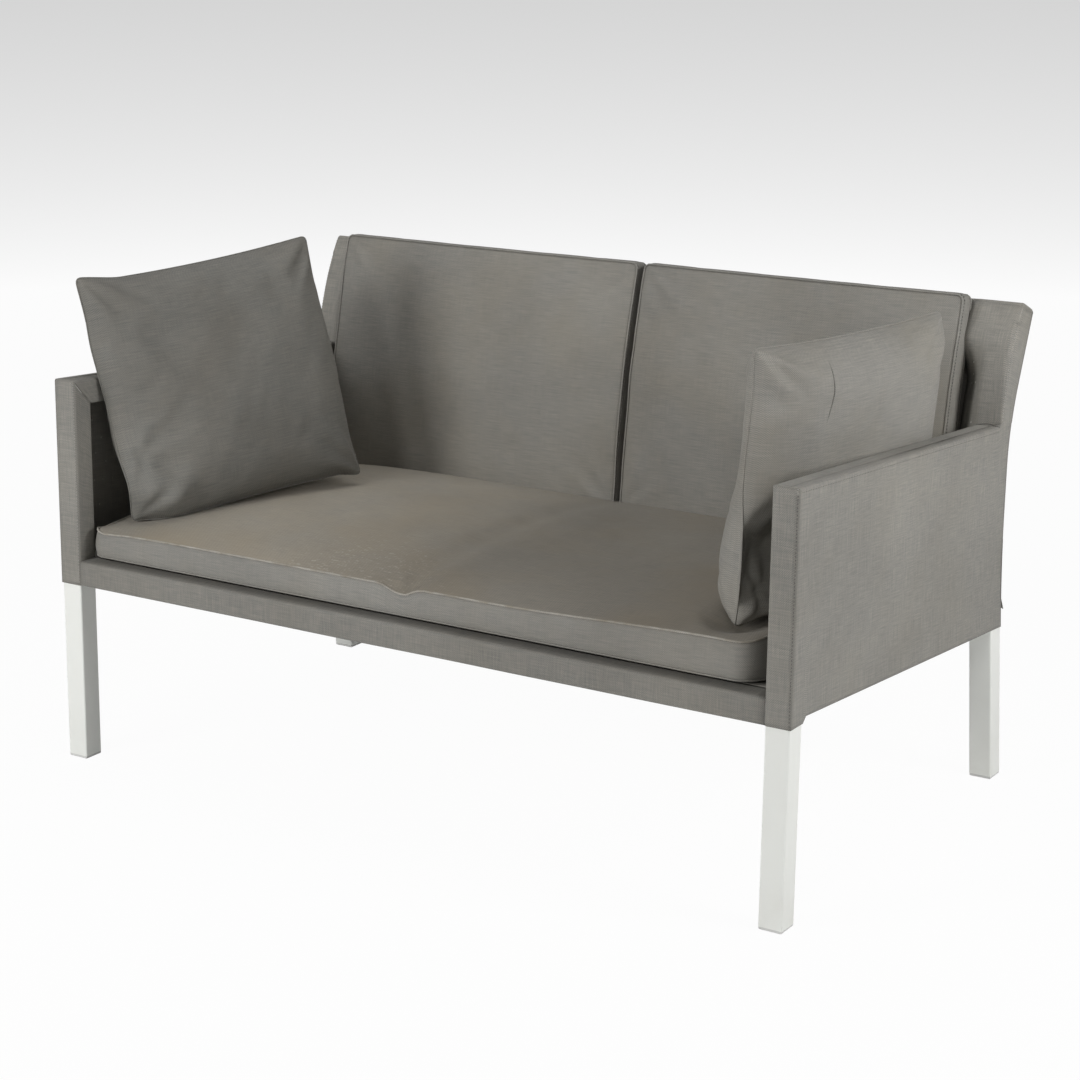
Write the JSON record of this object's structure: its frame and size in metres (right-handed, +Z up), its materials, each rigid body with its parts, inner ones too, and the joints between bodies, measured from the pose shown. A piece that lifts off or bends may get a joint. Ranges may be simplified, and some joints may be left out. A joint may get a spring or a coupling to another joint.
{
  "type": "patio bench",
  "caption": "Two-seat patio bench: square-tube frame with bent back posts, sewn mesh covers on the arms and back, and loose seat, back and throw cushions.",
  "frame": {"origin": "on the floor, under the middle of the bench's overall width and depth", "axes": "+X to the sitter's left along the bench, +Y to the back, +Z up"},
  "size_m": [1.397, 0.8634, 0.8771],
  "materials": {
    "frame_paint": "satin white powder coat",
    "bolt_steel": "plain",
    "grey_plastic": "matte",
    "cover_mesh": "woven mesh, taupe grey",
    "cushion_fabric": "woven mesh, taupe grey, slightly worn"
  },
  "bodies": {
    "frame": {"front_leg_right": "frame_paint", "arm_rail_right": "frame_paint", "back_post_right": "frame_paint", "side_rail_right": "frame_paint", "seat_brace_right": "frame_paint", "front_angle_right": "frame_paint", "rear_angle_right": "frame_paint", "front_leg_left": "frame_paint", "arm_rail_left": "frame_paint", "back_post_left": "frame_paint", "side_rail_left": "frame_paint", "seat_brace_left": "frame_paint", "front_angle_left": "frame_paint", "rear_angle_left": "frame_paint", "front_seat_rail": "frame_paint", "rear_seat_rail": "frame_paint", "back_top_rail": "frame_paint", "frame_bolts": "bolt_steel", "front_glide_right": "grey_plastic", "rear_glide_right": "grey_plastic", "post_cap_right": "grey_plastic", "front_glide_left": "grey_plastic", "rear_glide_left": "grey_plastic", "post_cap_left": "grey_plastic", "arm_side_panel_right": "cover_mesh", "arm_front_sleeve_right": "cover_mesh", "arm_top_sleeve_right": "cover_mesh", "post_sleeve_right": "cover_mesh", "arm_side_panel_left": "cover_mesh", "arm_front_sleeve_left": "cover_mesh", "arm_top_sleeve_left": "cover_mesh", "post_sleeve_left": "cover_mesh", "back_skin": "cover_mesh", "top_rail_sleeve": "cover_mesh", "front_rail_sleeve": "cover_mesh", "seat_sling": "cover_mesh"},
    "seat_cushion": {"seat_cushion": "cushion_fabric"},
    "back_cushion_left": {"back_cushion_left": "cushion_fabric"},
    "back_cushion_right": {"back_cushion_right": "cushion_fabric"},
    "throw_pillow_left": {"throw_pillow_left": "cushion_fabric"},
    "throw_pillow_right": {"throw_pillow_right": "cushion_fabric"}
  },
  "joints": [
    {"name": "seat_cushion_lift", "type": "slide", "parent": "frame", "child": "seat_cushion", "axis": [0, 0, 1], "range_m": [0, 0.34]},
    {"name": "back_cushion_left_lift", "type": "slide", "parent": "seat_cushion", "child": "back_cushion_left", "axis": [0, 0.1495, 0.9888], "range_m": [0, 0.3]},
    {"name": "back_cushion_right_lift", "type": "slide", "parent": "seat_cushion", "child": "back_cushion_right", "axis": [0, 0.1495, 0.9888], "range_m": [0, 0.3]},
    {"name": "throw_pillow_left_lift", "type": "slide", "parent": "seat_cushion", "child": "throw_pillow_left", "axis": [0, 0, 1], "range_m": [0, 0.3]},
    {"name": "throw_pillow_right_lift", "type": "slide", "parent": "seat_cushion", "child": "throw_pillow_right", "axis": [0, 0, 1], "range_m": [0, 0.3]}
  ]
}
